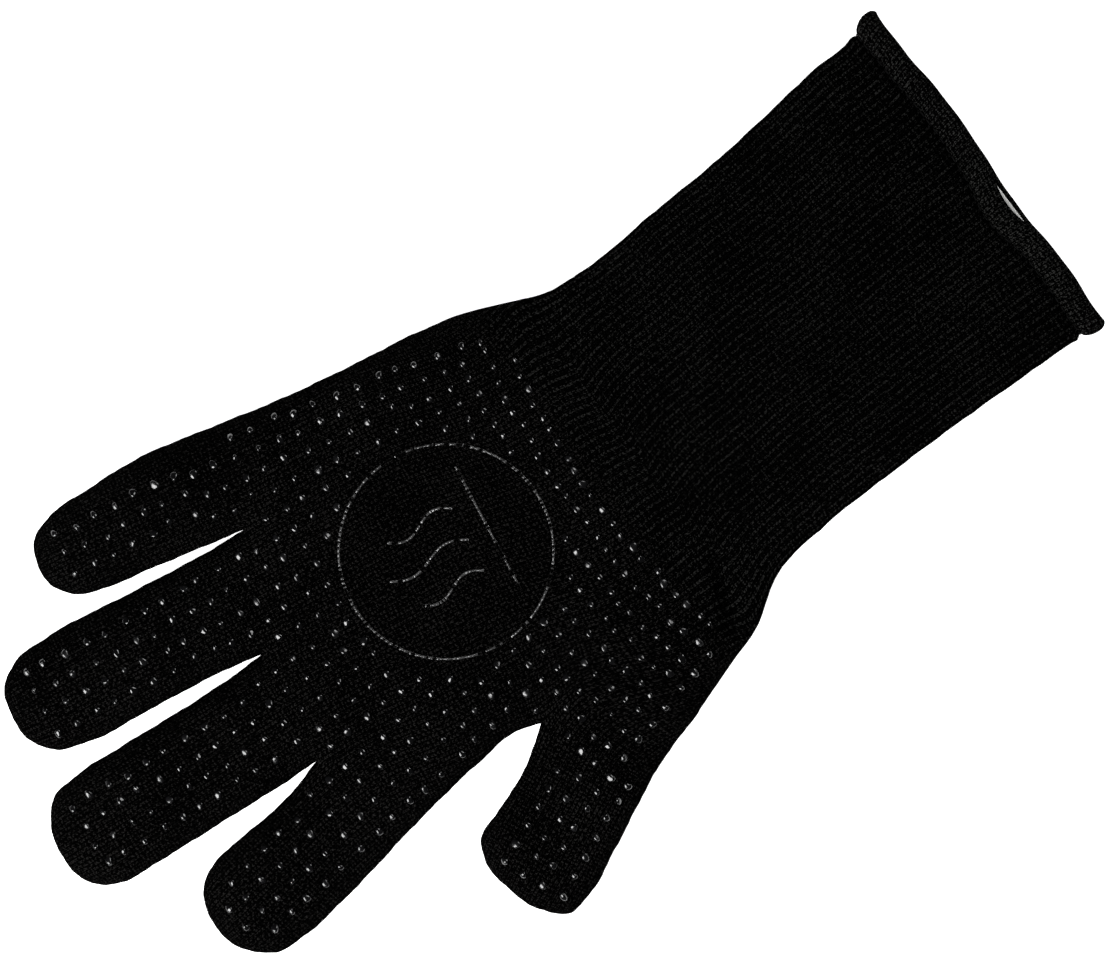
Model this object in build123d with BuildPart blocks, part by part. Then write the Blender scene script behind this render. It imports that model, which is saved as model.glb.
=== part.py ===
"""Heat resistant grill glove: knitted shell, cotton lining, silicone grip dots and a long ribbed cuff.

The glove lies flat on the back of the hand: palm up (+Z), fingertips towards +Y, thumb towards -X.
Its knit bends along eleven lines. The glove is cut there into stiff segments, and every cut has a
hinge line at half the glove's thickness: the outer segment ends in a half round nose on that line,
and the inner one ends in a flat face just short of the nose.
"""

import os
from math import cos, hypot, pi, radians, sin
from typing import NamedTuple

from build123d import *

os.makedirs("parts", exist_ok=True)

# Driving dimensions, millimetres.
THICKNESS = 15.0  # of the fabric glove as it lies, without its dots
KNIT = 2.0  # wall of the outer knit
LINING = 1.6  # wall of the cotton lining
EDGE_RADIUS = 4.2  # of the rolled sides
CLEARANCE = 1.2  # between a nose and the flat end that faces it, for dots to pass
DOT_HEIGHT = 0.8
DOT_BASE_RADIUS = 1.35
DOT_TOP_RADIUS = 0.9
DOT_MARGIN = 5.7  # from the outline to the centres of the nearest dots
DOT_END_GAP = 1.6  # from a dot's centre to the end of a segment's flat face
WRIST_BARE = 19.0  # the dots stop this far above the wrist line
HEM_WIDTH = 8.0
STITCH_WIDTH = 0.8
STITCH_DEPTH = 0.5
STITCH_INSET = 1.2  # from the hem band's inner end to its stitching
LABEL_WIDTH = 15.0
LABEL_LENGTH = 21.0
LABEL_THICKNESS = 0.8
LABEL_OFFSET = -6.0  # of the label's centre from the cuff's centre line
EMBLEM_CENTRE = (14.5, 32.0)
EMBLEM_RADIUS = 33.5
EMBLEM_LINE = 1.2
EMBLEM_HEIGHT = 0.5

HALF = THICKNESS / 2
FABRIC_BOTTOM = DOT_HEIGHT  # the glove rests on the dots of its back
FABRIC_TOP = FABRIC_BOTTOM + THICKNESS
AXIS_HEIGHT = FABRIC_BOTTOM + HALF
WALL = KNIT + LINING
REACH = 120.0  # longer than any segment: cuts that run past the glove's end

# Outline of the glove as it lies, from the thumb's side of the cuff round to the other side.
# Every corner is (x, y, radius). The cuff runs on past its hem, where it is trimmed.
OUTLINE = [
    (-17.5, -192.0, 8.0),
    (-23.5, -145.0, 120.0),
    (-32.5, -80.0, 90.0),
    (-39.5, -55.0, 14.0),
    (-50.0, -46.0, 12.0),
    # thumb
    (-106.0, 52.0, 15.5),
    (-76.6, 71.7, 15.5),
    (-46.8, 27.0, 1.5),
    # index finger
    (-43.6, 27.0, 1.5),
    (-48.0, 55.0, 90.0),
    (-74.0, 146.0, 15.5),
    (-41.7, 154.5, 15.5),
    (-26.2, 93.0, 1.1),
    # middle finger
    (-23.8, 93.0, 1.1),
    (-30.3, 181.3, 17.0),
    (6.0, 184.6, 17.0),
    (11.5, 92.0, 1.1),
    # ring finger
    (14.0, 92.0, 1.1),
    (14.8, 176.3, 16.5),
    (49.8, 176.3, 16.5),
    (49.2, 80.0, 1.1),
    # little finger
    (51.6, 80.0, 1.1),
    (56.0, 147.5, 13.0),
    (82.2, 147.5, 12.0),
    (85.6, 104.0, 60.0),
    (79.6, 52.0, 90.0),
    (78.6, -2.0, 40.0),
    (70.3, -34.0, 14.0),
    (77.0, -78.0, 120.0),
    (107.0, -192.0, 8.0),
]

OUTLINE_POINTS = [(x, y) for x, y, radius in OUTLINE]
OUTLINE_RADII = [radius for x, y, radius in OUTLINE]

# The wrist line and the cuff. Directions are unit vectors in the glove's plane.
WRIST = (13.0, -42.0)
WRIST_TILT = radians(8.6)
CUFF_DIRECTION = (sin(WRIST_TILT), -cos(WRIST_TILT))
CUFF_LENGTH = 134.3  # from the wrist line to the hem

# The thumb's two hinge lines, and its direction.
THUMB_DIRECTION = (cos(radians(124)), sin(radians(124)))
THUMB_CROTCH = (-47.0, 29.0)
THUMB_BASE_REACH = 9.5  # from the crotch to the first hinge line
THUMB_TIP_REACH = 30.0  # from the crotch to the second
THUMB_MIDDLE = 20.5  # from the crotch across to the thumb's middle
THUMB_HEADING = 122.5  # of the rows of dots, degrees from +X
THUMB_COLUMNS = 4



class Finger(NamedTuple):
    """A finger's two hinge lines in y, and its rows of dots."""

    name: str
    knuckle: float
    middle: float
    centre: float  # in x, at the knuckle
    heading: float  # of the rows of dots, degrees from +X
    columns: int  # rows of dots side by side


# The fingers' hinge lines are all parallel to X, so curled fingers never cross.
FINGERS = [
    Finger("index", 108.0, 130.0, -46.5, 105.0, 4),
    Finger("middle", 108.0, 140.0, -7.0, 94.0, 4),
    Finger("ring", 108.0, 138.0, 31.8, 89.5, 4),
    Finger("little", 94.0, 117.0, 68.5, 88.0, 3),
]
FORWARD = (0.0, 1.0)

# Lines that pass between the fingers, as x at the foot and x at the head of the finger zone.
GAP_FOOT = 75.0
GAP_HEAD = 200.0
GAPS = [(-90.0, -90.0), (-25.0, -36.3), (12.75, 12.0), (50.4, 52.5), (100.0, 100.0)]


def along(point, direction, distance):
    """The point that lies a distance away in a direction."""
    return (point[0] + distance * direction[0], point[1] + distance * direction[1])


def slab(inset):
    """The whole glove as one closed body, its surface moved in by inset all round."""
    with BuildPart() as body:
        with BuildSketch(Plane.XY.offset(FABRIC_BOTTOM + inset)):
            with BuildLine():
                FilletPolyline(*OUTLINE_POINTS, radius=OUTLINE_RADII, close=True)
            make_face()
            if inset:
                offset(amount=-inset)
        extrude(amount=THICKNESS - 2 * inset)
        rims = body.edges().group_by(Axis.Z)
        fillet(rims[0] + rims[-1], radius=EDGE_RADIUS - inset)
    return body.part


def hinged_cut(hinge, direction, start, end, low=-REACH, high=REACH):
    """A cutter from start to end beyond a hinge line, with a round nose if start is 0.

    The hinge line is level, at half thickness, and at right angles to the direction. Low and
    high limit the cutter along that line, whose sense is direction x up.
    """
    axis = Vector(direction[1], -direction[0], 0)
    foot = Vector(hinge[0], hinge[1], AXIS_HEIGHT) + axis * low
    with BuildPart() as cutter:
        with BuildSketch(Plane(foot, x_dir=(*direction, 0), z_dir=axis)):
            with Locations(((start + end) / 2, 0)):
                Rectangle(end - start, THICKNESS + 4)
            if start == 0:
                Circle(HALF)
        extrude(amount=high - low)
    return cutter.part


outer_slab = slab(0)
lining_slab = slab(KNIT)
cavity_slab = slab(WALL)

# Where each segment lies: its name and its cutter. A segment's flat end stops short of the next
# hinge line by the nose's radius and a clearance.
NOSE_ROOM = HALF + CLEARANCE


def finger_zone(left_gap, right_gap):
    """A prism around one finger, from the gap line on its left to the one on its right."""
    with BuildPart() as zone:
        with BuildSketch():
            with BuildLine():
                Polyline(
                    (left_gap[0], GAP_FOOT),
                    (right_gap[0], GAP_FOOT),
                    (right_gap[1], GAP_HEAD),
                    (left_gap[1], GAP_HEAD),
                    close=True,
                )
            make_face()
        extrude(amount=FABRIC_TOP)
    return zone.part


def finger_cuts():
    """The base and tip cutters of the four fingers."""
    cuts = {}
    for finger, left_gap, right_gap in zip(FINGERS, GAPS, GAPS[1:]):
        zone = finger_zone(left_gap, right_gap)
        base_end = finger.middle - finger.knuckle - NOSE_ROOM
        base = hinged_cut((0, finger.knuckle), FORWARD, 0, base_end)
        tip = hinged_cut((0, finger.middle), FORWARD, 0, REACH)
        cuts[finger.name + "_base"] = base & zone
        cuts[finger.name + "_tip"] = tip & zone
    return cuts


def thumb_cuts():
    """The base and tip cutters of the thumb, which stay on its own side of its crotch."""
    base_hinge = along(THUMB_CROTCH, THUMB_DIRECTION, THUMB_BASE_REACH)
    tip_hinge = along(THUMB_CROTCH, THUMB_DIRECTION, THUMB_TIP_REACH)
    base_end = THUMB_TIP_REACH - THUMB_BASE_REACH - NOSE_ROOM
    return {
        "thumb_base": hinged_cut(base_hinge, THUMB_DIRECTION, 0, base_end, -REACH, 2),
        "thumb_tip": hinged_cut(tip_hinge, THUMB_DIRECTION, 0, REACH, -REACH, 2),
    }


def palm_cut():
    """The palm's cutter: a prism with a side for each line where a finger or the cuff leaves it."""
    wrist_side = (cos(WRIST_TILT), sin(WRIST_TILT))
    wrist = along(WRIST, CUFF_DIRECTION, -NOSE_ROOM)
    thumb = along(THUMB_CROTCH, THUMB_DIRECTION, THUMB_BASE_REACH - NOSE_ROOM)
    thumb_side = (-THUMB_DIRECTION[1], THUMB_DIRECTION[0])
    index, little = FINGERS[0], FINGERS[3]
    knuckles = index.knuckle - NOSE_ROOM
    little_knuckle = little.knuckle - NOSE_ROOM
    little_left, index_left = GAPS[3][0], GAPS[0][0]
    with BuildPart() as cutter:
        with BuildSketch():
            with BuildLine():
                Polyline(
                    along(wrist, wrist_side, -REACH),
                    along(wrist, wrist_side, REACH),
                    (REACH, little_knuckle),
                    (little_left, little_knuckle),
                    (little_left, knuckles),
                    (index_left, knuckles),
                    along(thumb, thumb_side, -2),
                    along(thumb, thumb_side, REACH),
                    close=True,
                )
            make_face()
        extrude(amount=THICKNESS + 2 * DOT_HEIGHT)
    return cutter.part


def save(piece, name):
    """Label a finished piece and write it."""
    piece.label = name
    export_step(piece, f"parts/{name}.step")


# Knit and lining, cut into segments.
HEM_START = CUFF_LENGTH - HEM_WIDTH
segment_cuts = {
    "palm": palm_cut(),
    "cuff": hinged_cut(WRIST, CUFF_DIRECTION, 0, HEM_START),
    **thumb_cuts(),
    **finger_cuts(),
}
for segment, cut in segment_cuts.items():
    with BuildPart() as knit:
        add(outer_slab)
        add(lining_slab, mode=Mode.SUBTRACT)
        add(cut, mode=Mode.INTERSECT)
    save(knit.part, f"{segment}_knit")

    with BuildPart() as lining:
        add(lining_slab)
        add(cavity_slab, mode=Mode.SUBTRACT)
        add(cut, mode=Mode.INTERSECT)
    save(lining.part, f"{segment}_lining")

# The hem band closes the edges of knit and lining. Its stitching lies in a groove around it.
stitch_start = HEM_START + STITCH_INSET
with BuildPart() as hem_stitching:
    add(outer_slab)
    add(slab(STITCH_DEPTH), mode=Mode.SUBTRACT)
    add(
        hinged_cut(WRIST, CUFF_DIRECTION, stitch_start, stitch_start + STITCH_WIDTH),
        mode=Mode.INTERSECT,
    )
save(hem_stitching.part, "hem_stitching")

with BuildPart() as hem_band:
    add(outer_slab)
    add(cavity_slab, mode=Mode.SUBTRACT)
    add(hinged_cut(WRIST, CUFF_DIRECTION, HEM_START, CUFF_LENGTH), mode=Mode.INTERSECT)
    add(hem_stitching.part, mode=Mode.SUBTRACT)
save(hem_band.part, "hem_band")

# The care label hangs from the hem, flat on the inside of the back.
label_end = along(WRIST, CUFF_DIRECTION, CUFF_LENGTH - 1)
label_foot = along(label_end, (cos(WRIST_TILT), sin(WRIST_TILT)), LABEL_OFFSET)
with BuildPart() as care_label:
    label_plane = Plane(
        (*label_foot, FABRIC_BOTTOM + WALL), x_dir=(*CUFF_DIRECTION, 0), z_dir=(0, 0, 1)
    )
    with BuildSketch(label_plane):
        with Locations((-LABEL_LENGTH / 2, 0)):
            Rectangle(LABEL_LENGTH, LABEL_WIDTH)
    extrude(amount=LABEL_THICKNESS)
save(care_label.part, "care_label")

# The emblem: a thin ring around three rising heat lines over a grate bar, all printed on the palm.
heat_lines = [(-11.0, 15.0), (0.0, 20.0), (11.0, 15.0)]  # offset, height
HEAT_WAVE = 2.2
HEAT_FOOT = -8.0
GRATE_Y = -15.0
GRATE_LENGTH = 44.0
with BuildPart() as palm_emblem:
    with BuildSketch(Plane.XY.offset(FABRIC_TOP)):
        with Locations(EMBLEM_CENTRE):
            Circle(EMBLEM_RADIUS)
            Circle(EMBLEM_RADIUS - EMBLEM_LINE, mode=Mode.SUBTRACT)
            with Locations((0, GRATE_Y)):
                SlotOverall(GRATE_LENGTH, EMBLEM_LINE)
        for shift, height in heat_lines:
            foot_x = EMBLEM_CENTRE[0] + shift
            foot_y = EMBLEM_CENTRE[1] + HEAT_FOOT
            with BuildLine():
                bends = [
                    (foot_x + HEAT_WAVE * side, foot_y + height * share)
                    for side, share in ((0, 0), (1, 0.25), (0, 0.5), (-1, 0.75), (0, 1))
                ]
                Spline(*bends)
            trace(line_width=EMBLEM_LINE)
    extrude(amount=EMBLEM_HEIGHT)
save(palm_emblem.part, "palm_emblem")


# Grip dots. Rows on a finger follow the finger. Rows on the palm fan out from a point below it.
ROW_PITCH = 6.9  # from dot to dot along a finger
COLUMN_PITCH = 6.8  # from row to row across a finger
FIRST_STEP = 2.0  # from a knuckle's hinge line to the first dots
FINGER_STEPS = 12
FAN_CENTRE = (40.0, -245.0)
FAN_PITCH = 7.0  # from dot to dot along the palm's rows
FAN_ANGLE = 0.0215  # radians from row to row on the palm
REST_STRIDE = 34
FAN_RINGS = range(30, 55)
FAN_SPOKES = range(-20, 20)

with BuildSketch() as dot_field:
    with BuildLine():
        FilletPolyline(*OUTLINE_POINTS, radius=OUTLINE_RADII, close=True)
    make_face()
    offset(amount=-DOT_MARGIN)
dot_face = dot_field.sketch.face()


def finger_rows(foot, heading, columns):
    """Dots in rows along a heading, from a foot in the middle of the rows."""
    direction = (cos(radians(heading)), sin(radians(heading)))
    side = (direction[1], -direction[0])
    points = []
    for step in range(FINGER_STEPS):
        place = along(foot, direction, FIRST_STEP + step * ROW_PITCH)
        for column in range(columns):
            points.append(along(place, side, (column - (columns - 1) / 2) * COLUMN_PITCH))
    return points


def palm_fan():
    """Dots on arcs about the fan's centre."""
    points = []
    for ring in FAN_RINGS:
        for spoke in FAN_SPOKES:
            angle = pi / 2 + (spoke + 0.5) * FAN_ANGLE
            points.append(along(FAN_CENTRE, (cos(angle), sin(angle)), ring * FAN_PITCH))
    return points


def above_wrist(point):
    """Whether a point lies far enough above the wrist line."""
    rise = (WRIST[0] - point[0]) * CUFF_DIRECTION[0] + (WRIST[1] - point[1]) * CUFF_DIRECTION[1]
    return rise > WRIST_BARE


def off_emblem(point):
    """Whether a dot at this point stays clear of the emblem."""
    distance = hypot(point[0] - EMBLEM_CENTRE[0], point[1] - EMBLEM_CENTRE[1])
    return distance > EMBLEM_RADIUS + 2 * DOT_BASE_RADIUS


def on_segment(points, cut):
    """The points where a whole dot stands on a segment's flat face."""
    spots = [(DOT_END_GAP * cos(turn), DOT_END_GAP * sin(turn)) for turn in (0, pi / 2, pi, -pi / 2)]
    level = FABRIC_TOP - 0.02
    kept = [point for point in points if dot_face.is_inside(Vector(*point, 0))]
    return [
        (x, y) for x, y in kept if all(cut.is_inside((x + dx, y + dy, level)) for dx, dy in spots)
    ]


def save_dots(name, front, back):
    """Write one node of separate dots, on the palm's side and on the back."""
    with BuildPart() as grip_dots:
        if front:
            with Locations(*[(x, y, FABRIC_TOP + DOT_HEIGHT / 2) for x, y in front]):
                Cone(DOT_BASE_RADIUS, DOT_TOP_RADIUS, DOT_HEIGHT)
        if back:
            with Locations(*[(x, y, DOT_HEIGHT / 2) for x, y in back]):
                Cone(DOT_TOP_RADIUS, DOT_BASE_RADIUS, DOT_HEIGHT)
    save(grip_dots.part, name)


for finger in FINGERS:
    rows = finger_rows((finger.centre, finger.knuckle), finger.heading, finger.columns)
    for half in ("base", "tip"):
        segment = f"{finger.name}_{half}"
        spots = on_segment(rows, segment_cuts[segment])
        save_dots(f"{segment}_dots", spots, spots)

thumb_hinge = along(THUMB_CROTCH, THUMB_DIRECTION, THUMB_BASE_REACH)
thumb_foot = along(thumb_hinge, (-THUMB_DIRECTION[1], THUMB_DIRECTION[0]), THUMB_MIDDLE)
thumb_rows = finger_rows(thumb_foot, THUMB_HEADING, THUMB_COLUMNS)
for half in ("base", "tip"):
    segment = f"thumb_{half}"
    spots = on_segment(thumb_rows, segment_cuts[segment])
    save_dots(f"{segment}_dots", spots, spots)

palm_spots = [point for point in on_segment(palm_fan(), segment_cuts["palm"]) if above_wrist(point)]
save_dots("palm_dots", [point for point in palm_spots if off_emblem(point)], [])

# A few dots spread over the back carry the glove, in a node of their own.
save_dots("back_rest_dots", [], palm_spots[::REST_STRIDE])
save_dots("back_dots", [], [spot for spot in palm_spots if spot not in palm_spots[::REST_STRIDE]])
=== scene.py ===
"""Looks of a heat resistant grill glove: knitted hand with silicone dots, ribbed cuff and cotton lining.

The glove lies flat on its back at z = 0, palm up, fingertips towards +Y and thumb towards -X.
The fabric is one height field over the glove's plan: its top and bottom meet along its rolled sides.
That field is cut into one piece for each stiff segment.
Lengths in this file are millimetres until a mesh is made.
"""

import functools
from math import cos, exp, pi, radians, sin, sqrt

import bpy
import numpy as np
from mathutils import Matrix, Vector
from mathutils.geometry import delaunay_2d_cdt
from mathutils.kdtree import KDTree

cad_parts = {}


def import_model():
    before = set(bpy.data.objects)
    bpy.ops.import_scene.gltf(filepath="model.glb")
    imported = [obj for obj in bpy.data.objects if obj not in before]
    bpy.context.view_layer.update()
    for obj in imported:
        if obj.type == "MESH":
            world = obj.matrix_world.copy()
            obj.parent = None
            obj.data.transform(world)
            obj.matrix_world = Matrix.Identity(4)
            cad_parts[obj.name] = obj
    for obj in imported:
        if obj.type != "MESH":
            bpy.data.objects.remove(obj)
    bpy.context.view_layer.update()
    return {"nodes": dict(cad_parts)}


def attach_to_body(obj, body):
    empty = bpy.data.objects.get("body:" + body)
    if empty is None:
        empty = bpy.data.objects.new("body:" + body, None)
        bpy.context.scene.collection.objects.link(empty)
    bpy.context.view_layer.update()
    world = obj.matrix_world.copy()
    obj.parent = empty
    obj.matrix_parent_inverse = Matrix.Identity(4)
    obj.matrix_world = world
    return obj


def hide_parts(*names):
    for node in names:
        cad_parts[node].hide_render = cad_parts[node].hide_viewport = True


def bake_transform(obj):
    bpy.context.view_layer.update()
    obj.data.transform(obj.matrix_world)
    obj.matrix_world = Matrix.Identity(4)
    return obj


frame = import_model()

MM = 0.001


def heading(degrees):
    """The unit vector of the plan at that many degrees from +X."""
    turn = radians(degrees)
    return np.array([cos(turn), sin(turn)])


def left_of(ways):
    """Each direction of the plan, turned left by a quarter."""
    return np.stack([-ways[..., 1], ways[..., 0]], axis=-1)


def unit(vectors):
    """Each vector, scaled to length 1."""
    return vectors / np.linalg.norm(vectors, axis=-1, keepdims=True)


HINGE_HEIGHT = 8.3
# The fabric's cross section: a flat middle, and sides that roll over.
MIDDLE_HEIGHT = 7.3  # where the top and the bottom meet
TOP_RISE = 8.4
BOTTOM_DROP = 6.5
TOP_REACH = 12.5  # how far in from the side the top's roll goes
BOTTOM_REACH = 8.0
FINGER_SLACK = 0.5  # the fingers are this much flatter
HEM_SLACK = 1.9  # and the hem this much
SLACK_KNUCKLES = (70.0, 110.0)  # y over which the fingers' share sets in
SLACK_CUFF = (10.0, 120.0)  # and s over which the hem's does
TOP_SINK = 0.25  # the slack top lies this much lower
KNIT_WALL = 2.0
LINING_WALL = 1.6
FABRIC_WALL = KNIT_WALL + LINING_WALL

# The cuff's own directions: s runs from the wrist line to the hem, q across it.
WRIST = np.array([13.0, -42.0])
WRIST_TILT = 8.6  # degrees
CUFF_ACROSS = heading(WRIST_TILT)
CUFF_ALONG = -left_of(CUFF_ACROSS)
CUFF_TOP = -20.0  # where the ribs fade out and the hand's fabric begins
CUFF_GROOVE = 126.2  # the seam that holds the hem band
CUFF_HEM = 134.3
CUFF_PAST_HEM = 149.0  # the silhouette runs on to here, so that the hem isn't one of its sides

# A knitted edge's small waves: height, turn per millimetre, and share of the phase.
EDGE_WAVES = [(0.09, 0.43, 1.0), (0.05, 0.95, 2.0), (0.04, 1.7, 0.0)]
EDGE_STARTS = (5.0, 20.0)  # they set in over this stretch of the hand's outline

# The cuff's two sides, as (s, q).
THUMB_SIDE = [
    (-41.8, -75.6), (-22.5, -68.9), (-7.4, -63.6), (-0.5, -58.6), (4.5, -55.6), (26.0, -51.6),
    (51.0, -50.8), (102.0, -51.4), (126.0, -52.6), (134.3, -54.4), (150.0, -55.0),
]
LITTLE_SIDE = [
    (-41.6, 73.2), (-26.9, 70.0), (-12.6, 64.3), (-0.3, 58.9), (16.7, 57.1), (42.2, 58.6),
    (67.7, 59.8), (88.2, 61.9), (108.7, 64.4), (125.0, 65.8), (130.0, 68.3), (134.3, 69.3),
    (150.0, 70.0),
]

OUTLINE_STEP = 0.5
OUTLINE_LEAD = 7.0  # between the points that lead the hand's outline out of the cuff's
# The hand's outline, one smooth run from each crotch to the next, as (x, y).
THUMB_CROTCH = (-47.0, 31.5)
INDEX_CROTCH = (-24.3, 99.0)
MIDDLE_CROTCH = (13.2, 98.5)
RING_CROTCH = (50.3, 85.0)
THUMB_RUN = [
    (-68.0, -12.0), (-74.0, 1.0), (-92.2, 28.8), (-101.2, 42.8), (-103.6, 51.2), (-98.0, 59.2),
    (-88.0, 64.6), (-77.5, 67.0), (-70.0, 65.0), (-65.4, 57.3), (-59.9, 46.8), (-52.5, 37.0),
    THUMB_CROTCH,
]
INDEX_RUN = [
    THUMB_CROTCH, (-45.6, 38.0), (-48.8, 54.6), (-56.0, 79.7), (-66.0, 109.7), (-70.8, 128.0),
    (-71.4, 137.0), (-67.5, 144.5), (-60.5, 149.8), (-51.0, 151.2), (-42.1, 148.5), (-37.0, 141.2),
    (-34.0, 129.2), (-30.2, 113.0), (-26.6, 104.0), INDEX_CROTCH,
]
MIDDLE_RUN = [
    INDEX_CROTCH, (-25.4, 108.0), (-27.0, 130.0), (-28.8, 157.0), (-29.3, 169.0), (-26.5, 177.0),
    (-20.0, 181.8), (-11.0, 183.1), (-2.0, 181.3), (4.5, 176.5), (7.2, 167.0), (8.6, 150.0),
    (10.3, 122.0), (12.0, 106.0), MIDDLE_CROTCH,
]
RING_RUN = [
    MIDDLE_CROTCH, (14.1, 108.0), (14.5, 135.0), (14.8, 160.0), (17.5, 169.5), (23.5, 174.8),
    (33.0, 176.3), (42.0, 174.2), (47.8, 167.0), (49.6, 156.0), (49.6, 125.0), (49.7, 95.0),
    RING_CROTCH,
]
LITTLE_RUN = [
    RING_CROTCH, (51.2, 95.0), (53.4, 118.0), (54.8, 133.0), (57.3, 140.8), (63.0, 146.0),
    (70.5, 147.0), (77.9, 144.6), (82.4, 137.4), (84.5, 122.0), (85.7, 103.0), (83.6, 80.0),
    (81.0, 55.0), (79.8, 30.0), (79.3, 8.0),
]

# The thumb: where it lies, where its base and its tip are cut off, and where each one's fabric turns.
THUMB_FOOT = np.array([-47.0, 29.0])
THUMB_ALONG = heading(124)
THUMB_ACROSS = left_of(THUMB_ALONG)
THUMB_CUTS = (2.2, 20.0)
THUMB_RIGHT = -1.6  # across from the thumb's foot to the gap beside the index finger
THUMB_LEFT = 62.0  # and to past its far side
# Each finger: its middle line in x, y where its base starts and stops turning, and the same for its tip.
FINGERS = [
    ("index", -48.0, (99.5, 117.0), (119.0, 141.0)),
    ("middle", -8.0, (99.5, 117.0), (129.0, 151.0)),
    ("ring", 32.0, (99.5, 117.0), (127.0, 149.0)),
    ("little", 68.0, (86.0, 103.0), (106.0, 128.0)),
]
# The cuts across the roots of the three long fingers, and of the little finger.
ROOT_LINES = [((-78.0, 99.5), (50.55, 99.5)), ((50.3, 86.0), (92.0, 86.0))]
# The lines between the fingers, as x at GAP_FOOT and x at GAP_HEAD.
GAP_FOOT = 75.0
GAP_HEAD = 200.0
GAPS = [(-90.0, -90.0), (-24.0, -38.0), (13.4, 11.2), (50.25, 52.5), (100.0, 100.0)]

# Knit: stitches across and along, and the ribs of the cuff.
STITCH_WIDTH = 1.39
STITCH_LENGTH = 1.15
RIBS = 45  # on each side of the cuff
RIB_SAMPLES = 7
RIB_START = 9.0  # stitch number of the cuff's middle: ribs stand at odd numbers, valleys at even ones
RIB_DEPTH = 1.05
# Where the knit turns to follow a part of the glove: the part, the point it turns about, the turn in
# degrees, and how far along the part from there it starts to turn and has turned.
UPWARD = np.array([0.0, 1.0])
KNIT_TURNS = [
    ("cuff", WRIST, CUFF_ALONG, WRIST_TILT, -70.0, -22.0),
    ("thumb", THUMB_FOOT + 9.0 * THUMB_ACROSS, THUMB_ALONG, 33.0, -42.0, 14.0),
    ("index", np.array([-42.0, 99.0]), UPWARD, 15.5, -45.0, 20.0),
    ("middle", np.array([-7.0, 99.0]), UPWARD, 3.5, -40.0, 10.0),
    ("little", np.array([68.0, 88.0]), UPWARD, -2.0, -40.0, 10.0),
]
TURN_SOFTNESS = 9.0  # how far a part's turn reaches past its sides, below its crotch
TURN_SHARPENS = (-2.0, 20.0)  # how far along the part that has gone

LABEL_WIDTH = 15.0
LABEL_LENGTH = 21.0
LABEL_ACROSS = -6.0
LABEL_SHORT = 0.6  # the label ends this far inside the hem
LABEL_THICKNESS = 0.25
LABEL_CURL = 0.9  # how far its end stands off the lining

DOT_RADIUS = 1.38
DOT_HEIGHT = 0.8
DOT_SIDES = 12
DOT_SCATTER = 0.5  # standard deviation of a dot's place
DOT_SIZES = (0.78, 1.14)  # as shares of the radius
DOT_HEIGHTS = (0.6, 1.1)  # as shares of the height
DOT_LEAN = 0.26
DOT_SQUEEZE = (0.76, 1.0)
DOT_LOBES = [(0.09, 2), (0.08, 3)]  # how strong and how many
# Share of the radius and of the height, from below the fabric to near the top.
DOT_PROFILE = [(1.06, -0.35), (1.0, 0.1), (0.93, 0.42), (0.77, 0.72), (0.54, 0.9), (0.28, 0.97)]
DOT_MARGIN = 5.0  # from the silhouette to the nearest dots' centres
DOT_ROW_PITCH = 6.9  # from dot to dot along a finger
DOT_COLUMN_PITCH = 6.8  # from row to row across a finger
DOT_FIRST_STEP = 2.0
DOT_STEPS = 12
# Rows of dots: where they start, their heading in degrees and how many there are.
DOT_ROWS = [
    ((-69.3, 25.4), 122.5, 4),
    ((-46.5, 108.0), 105.0, 4),
    ((-7.0, 108.0), 94.0, 4),
    ((31.8, 108.0), 89.5, 4),
    ((68.5, 94.0), 88.0, 3),
]
DOT_ROWS_REACH = 19.0  # to each side of a finger's middle, the palm's dots give way to its rows
FAN_CENTRE = np.array([40.0, -245.0])
FAN_PITCH = 7.0  # from dot to dot along the palm's rows
FAN_ANGLE = 0.0215  # radians from row to row on the palm
FAN_RINGS = range(30, 55)
FAN_SPOKES = range(-20, 20)
WRIST_BARE = 19.0  # the dots stop this far above the wrist line

EMBLEM_CENTRE = np.array([14.5, 32.0])
EMBLEM_RADIUS = 33.5
EMBLEM_LINE = 0.85
EMBLEM_HEIGHT = 0.42
# A printed line's cross section: share of its width across, and of its height.
EMBLEM_SECTION = [(-0.5, -0.4), (-0.42, 0.4), (-0.2, 0.95), (0.2, 0.95), (0.42, 0.4), (0.5, -0.4)]
WAVE_FOOT = -8.0
WAVE_SWING = 2.2
HEAT_WAVES = [(-11.0, 15.0), (0.0, 20.0), (11.0, 15.0)]  # place across, and where each one ends
BAR_HALF = 22.0
BAR_PLACE = -15.0


# ---- curves in the plan


def smoothstep(x, low, high):
    """0 below low, 1 above high, and smooth between them."""
    t = np.clip((x - low) / (high - low), 0.0, 1.0)
    return t * t * (3.0 - 2.0 * t)


def smooth_through(knots, values, at):
    """The smooth function through (knot, value) pairs."""
    knots = np.asarray(knots, float)
    values = np.asarray(values, float)
    gaps = np.diff(knots)
    slopes = np.diff(values) / gaps
    inner = (gaps[1:] * slopes[:-1] + gaps[:-1] * slopes[1:]) / (gaps[1:] + gaps[:-1])
    tangents = np.concatenate([[slopes[0]], inner, [slopes[-1]]])
    i = np.clip(np.searchsorted(knots, at) - 1, 0, len(gaps) - 1)
    t = (at - knots[i]) / gaps[i]
    start = (2 * t**3 - 3 * t**2 + 1) * values[i] + (t**3 - 2 * t**2 + t) * gaps[i] * tangents[i]
    end = (3 * t**2 - 2 * t**3) * values[i + 1] + (t**3 - t**2) * gaps[i] * tangents[i + 1]
    return start + end


def lengths_along(line):
    """Distance along a polyline to each of its points."""
    return np.concatenate([[0.0], np.cumsum(np.linalg.norm(np.diff(line, axis=0), axis=1))])


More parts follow.
